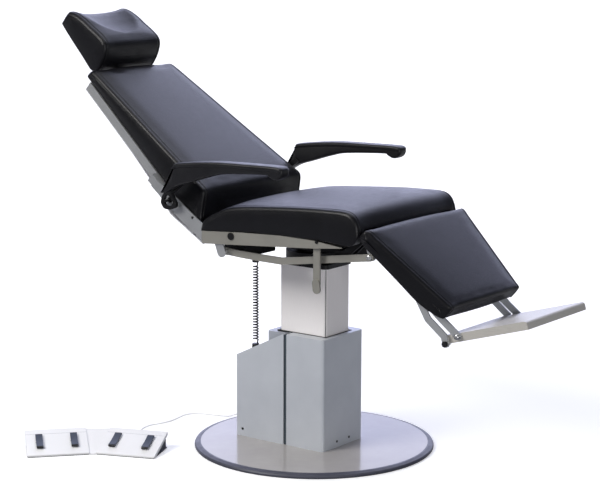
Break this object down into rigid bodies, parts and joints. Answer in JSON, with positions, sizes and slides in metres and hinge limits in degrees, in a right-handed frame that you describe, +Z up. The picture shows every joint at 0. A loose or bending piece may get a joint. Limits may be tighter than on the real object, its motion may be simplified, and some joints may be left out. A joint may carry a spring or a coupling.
{
  "type": "ophthalmic examination chair",
  "caption": "Power-lift examination chair on a round floor base, with reclining back, headrest, armrests, legrest, level footplate and foot controls.",
  "frame": {"origin": "centre of the round base's underside, on the floor", "axes": "+X towards the feet, +Z up, -Y the side with the hand lever"},
  "size_m": [1.6636, 0.9667, 1.2354],
  "materials": {
    "steel_plate": "matt primer on heavy plate",
    "laminate": "glossy laminate",
    "edge_rubber": "moulded rubber edge",
    "guide_steel": "black powder coat",
    "slide_pad": "acetal",
    "housing_paint": "metallic blue-grey paint",
    "black_seal": "black rubber",
    "screw": "zinc plated",
    "actuator": "grey enamel",
    "rod_steel": "ground chrome",
    "electronics": "black plastic case",
    "column_steel": "brushed stainless",
    "black_metal": "black satin",
    "rail_paint": "warm silver paint",
    "board": "black stained plywood",
    "leather": "black leatherette",
    "arm_black": "satin moulded skin",
    "bright_plate": "silver paint",
    "shell": "pale moulded shell",
    "tray_steel": "polished stainless",
    "control_white": "white plastic",
    "control_dark": "dark plastic",
    "pedal_blue": "ribbed rubber"
  },
  "bodies": {
    "base": {"base_plate": "steel_plate", "base_laminate": "laminate", "base_rim": "edge_rubber", "column_guide": "guide_steel", "guide_pads": "slide_pad", "front_cover": "housing_paint", "rear_cover": "housing_paint", "cover_seal": "black_seal", "cover_screws": "screw", "lift_actuator": "actuator", "control_box": "electronics", "lower_cable_gland": "black_seal", "curly_cable": "black_seal", "foot_cover_left": "control_white", "foot_cover_right": "control_white", "foot_control_bases": "control_dark", "foot_joining_plate": "control_white", "foot_cord": "control_white", "cord_strain_reliefs": "control_dark"},
    "lift": {"inner_column": "column_steel", "column_head": "black_metal", "lift_rod": "rod_steel", "cable_arm": "black_metal", "upper_cable_gland": "black_seal"},
    "seat": {"swivel_disc": "black_metal", "seat_frame": "guide_steel", "seat_rail_far": "rail_paint", "seat_rail_near": "rail_paint", "rail_caps": "black_metal", "seat_pan": "board", "seat_cushion": "leather", "recline_gearmotor": "actuator"},
    "lever": {"hand_lever": "rail_paint"},
    "back": {"back_side_plate_far": "bright_plate", "back_side_plate_near": "bright_plate", "recline_shaft": "guide_steel", "armrest_brackets": "black_metal", "back_frame": "bright_plate", "back_shell": "shell", "back_cushion": "leather"},
    "head_bar": {"headrest_bar": "guide_steel"},
    "headrest": {"headrest_plate": "guide_steel", "headrest_cushion": "leather"},
    "arm_far": {"armrest_far": "arm_black", "armrest_hanger_far": "black_metal"},
    "arm_near": {"armrest_near": "arm_black", "armrest_hanger_near": "black_metal"},
    "linkage": {"link_bar_far": "rail_paint", "link_bar_near": "rail_paint"},
    "legrest": {"legrest_frame": "bright_plate", "legrest_board": "board", "legrest_cushion": "leather"},
    "foot_links": {"foot_link_far": "bright_plate", "foot_link_near": "bright_plate"},
    "footplate": {"footplate": "tray_steel", "footplate_pins": "screw"},
    "foot_pedal_left_1": {"foot_pedal_left_1": "pedal_blue"},
    "foot_pedal_left_2": {"foot_pedal_left_2": "pedal_blue"},
    "foot_pedal_right_1": {"foot_pedal_right_1": "pedal_blue"},
    "foot_pedal_right_2": {"foot_pedal_right_2": "pedal_blue"}
  },
  "joints": [
    {"name": "lift_slide", "type": "slide", "parent": "base", "child": "lift", "axis": [0, 0, 1], "range_m": [-0.12, 0.03], "deforming": ["curly_cable"]},
    {"name": "swivel", "type": "hinge", "parent": "lift", "child": "seat", "pos_m": [0, 0, 0.56], "axis": [0, 0, 1], "range_deg": [-90, 90]},
    {"name": "recline", "type": "hinge", "parent": "seat", "child": "back", "pos_m": [-0.17, 0, 0.646], "axis": [0, 1, 0], "range_deg": [-30, 28]},
    {"name": "legrest_hinge", "type": "hinge", "parent": "seat", "child": "legrest", "pos_m": [0.325, 0, 0.683], "axis": [0, 1, 0], "range_deg": [-30, 28]},
    {"name": "link_bar_hinge", "type": "hinge", "parent": "back", "child": "linkage", "pos_m": [-0.15, 0, 0.59], "axis": [0, 1, 0], "range_deg": [-28, 30]},
    {"name": "foot_link_hinge", "type": "hinge", "parent": "seat", "child": "foot_links", "pos_m": [0.291, 0, 0.659], "axis": [0, 1, 0], "range_deg": [-30, 28]},
    {"name": "footplate_hinge", "type": "hinge", "parent": "legrest", "child": "footplate", "pos_m": [0.588, 0, 0.435], "axis": [0, 1, 0], "range_deg": [-28, 30]},
    {"name": "headrest_slide", "type": "slide", "parent": "back", "child": "head_bar", "axis": [-0.766, 0, 0.6428], "range_m": [0, 0.09]},
    {"name": "headrest_tilt", "type": "hinge", "parent": "head_bar", "child": "headrest", "pos_m": [-0.73842, 0, 1.04203], "axis": [0, 1, 0], "range_deg": [-12, 12]},
    {"name": "armrest_far_hinge", "type": "hinge", "parent": "back", "child": "arm_far", "pos_m": [-0.338, 0.00026, 0.722], "axis": [0, 1, 0], "range_deg": [-95, 30]},
    {"name": "armrest_near_hinge", "type": "hinge", "parent": "back", "child": "arm_near", "pos_m": [-0.338, -0.00026, 0.722], "axis": [0, 1, 0], "range_deg": [-95, 30]},
    {"name": "lever_hinge", "type": "hinge", "parent": "seat", "child": "lever", "pos_m": [0.181, -0.237, 0.646], "axis": [0, 1, 0], "range_deg": [-12, 12], "stiffness_Nm_per_rad": 1.2},
    {"name": "foot_pedal_left_1_rock", "type": "hinge", "parent": "base", "child": "foot_pedal_left_1", "pos_m": [-0.51479, -0.4732, 0.02726], "axis": [-0.6678, -0.7443, 0], "range_deg": [-3, 3], "stiffness_Nm_per_rad": 0.4},
    {"name": "foot_pedal_left_2_rock", "type": "hinge", "parent": "base", "child": "foot_pedal_left_2", "pos_m": [-0.58157, -0.54764, 0.02726], "axis": [-0.6678, -0.7443, 0], "range_deg": [-3, 3], "stiffness_Nm_per_rad": 0.4},
    {"name": "foot_pedal_right_1_rock", "type": "hinge", "parent": "base", "child": "foot_pedal_right_1", "pos_m": [-0.3259, -0.36438, 0.02726], "axis": [-0.9278, -0.373, 0], "range_deg": [-3, 3], "stiffness_Nm_per_rad": 0.4},
    {"name": "foot_pedal_right_2_rock", "type": "hinge", "parent": "base", "child": "foot_pedal_right_2", "pos_m": [-0.41868, -0.40168, 0.02726], "axis": [-0.9278, -0.373, 0], "range_deg": [-3, 3], "stiffness_Nm_per_rad": 0.4}
  ],
  "couplings": [
    {"joint": "legrest_hinge", "follows": "recline", "ratio": 1},
    {"joint": "link_bar_hinge", "follows": "recline", "ratio": -1},
    {"joint": "foot_link_hinge", "follows": "recline", "ratio": 1},
    {"joint": "footplate_hinge", "follows": "recline", "ratio": -1}
  ]
}
